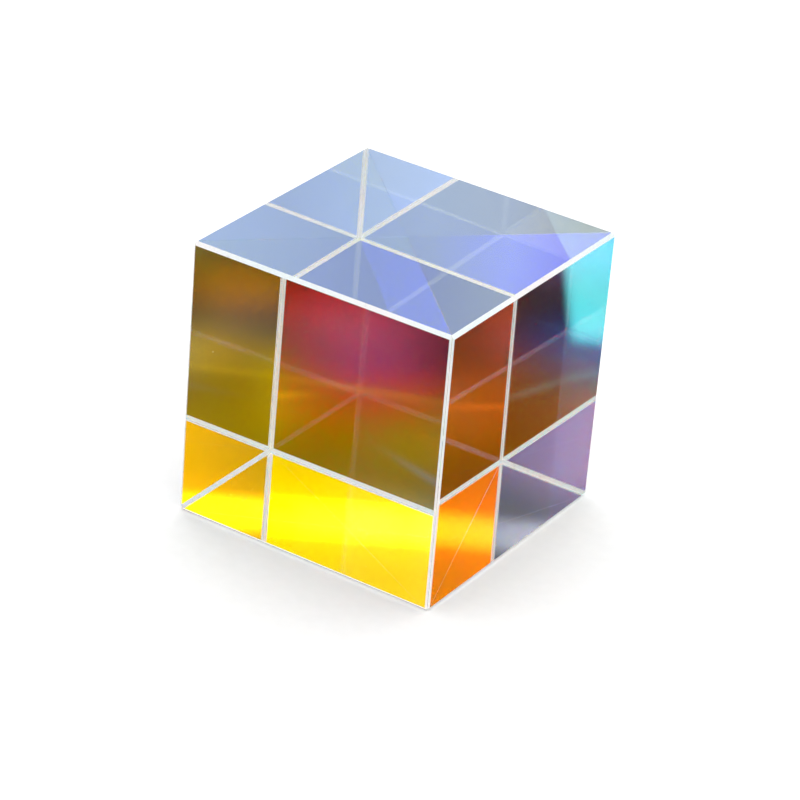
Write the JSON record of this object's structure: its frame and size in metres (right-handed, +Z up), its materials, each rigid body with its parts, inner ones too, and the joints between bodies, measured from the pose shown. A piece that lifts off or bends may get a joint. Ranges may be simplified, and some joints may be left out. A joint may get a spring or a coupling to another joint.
{
  "type": "dichroic x-cube prism",
  "caption": "Polished glass cube of cemented right-angle prisms with dichroic films on its crossed diagonal joints, which splits or combines coloured light.",
  "frame": {"origin": "centre of the bottom end face, on the axis where the four prisms meet", "axes": "+Z up along the axis where the prisms' right-angle edges meet; -Y out of the front prism's polished face; +X out of the right prism's polished face"},
  "size_m": [0.025, 0.025, 0.025],
  "materials": {
    "optical_glass": "polished faces with narrow ground bevels along the edges",
    "blue_reflecting_film": "multilayer dichroic film: mirrors blue at 45 degrees and passes yellow; its band moves to shorter waves as the angle grows",
    "red_reflecting_film": "multilayer dichroic film: mirrors red at 45 degrees and passes cyan; at grazing angles it mirrors green and blue",
    "optical_cement": "clear cured cement, index matched to the glass"
  },
  "bodies": {
    "root": {"front_prism": "optical_glass", "right_prism": "optical_glass", "back_prism": "optical_glass", "left_prism": "optical_glass", "blue_film_left": "blue_reflecting_film", "blue_film_right": "blue_reflecting_film", "red_film_front": "red_reflecting_film", "red_film_back": "red_reflecting_film", "cement_front_pair": "optical_cement", "cement_back_pair": "optical_cement", "cement_between_pairs": "optical_cement"}
  },
  "joints": []
}
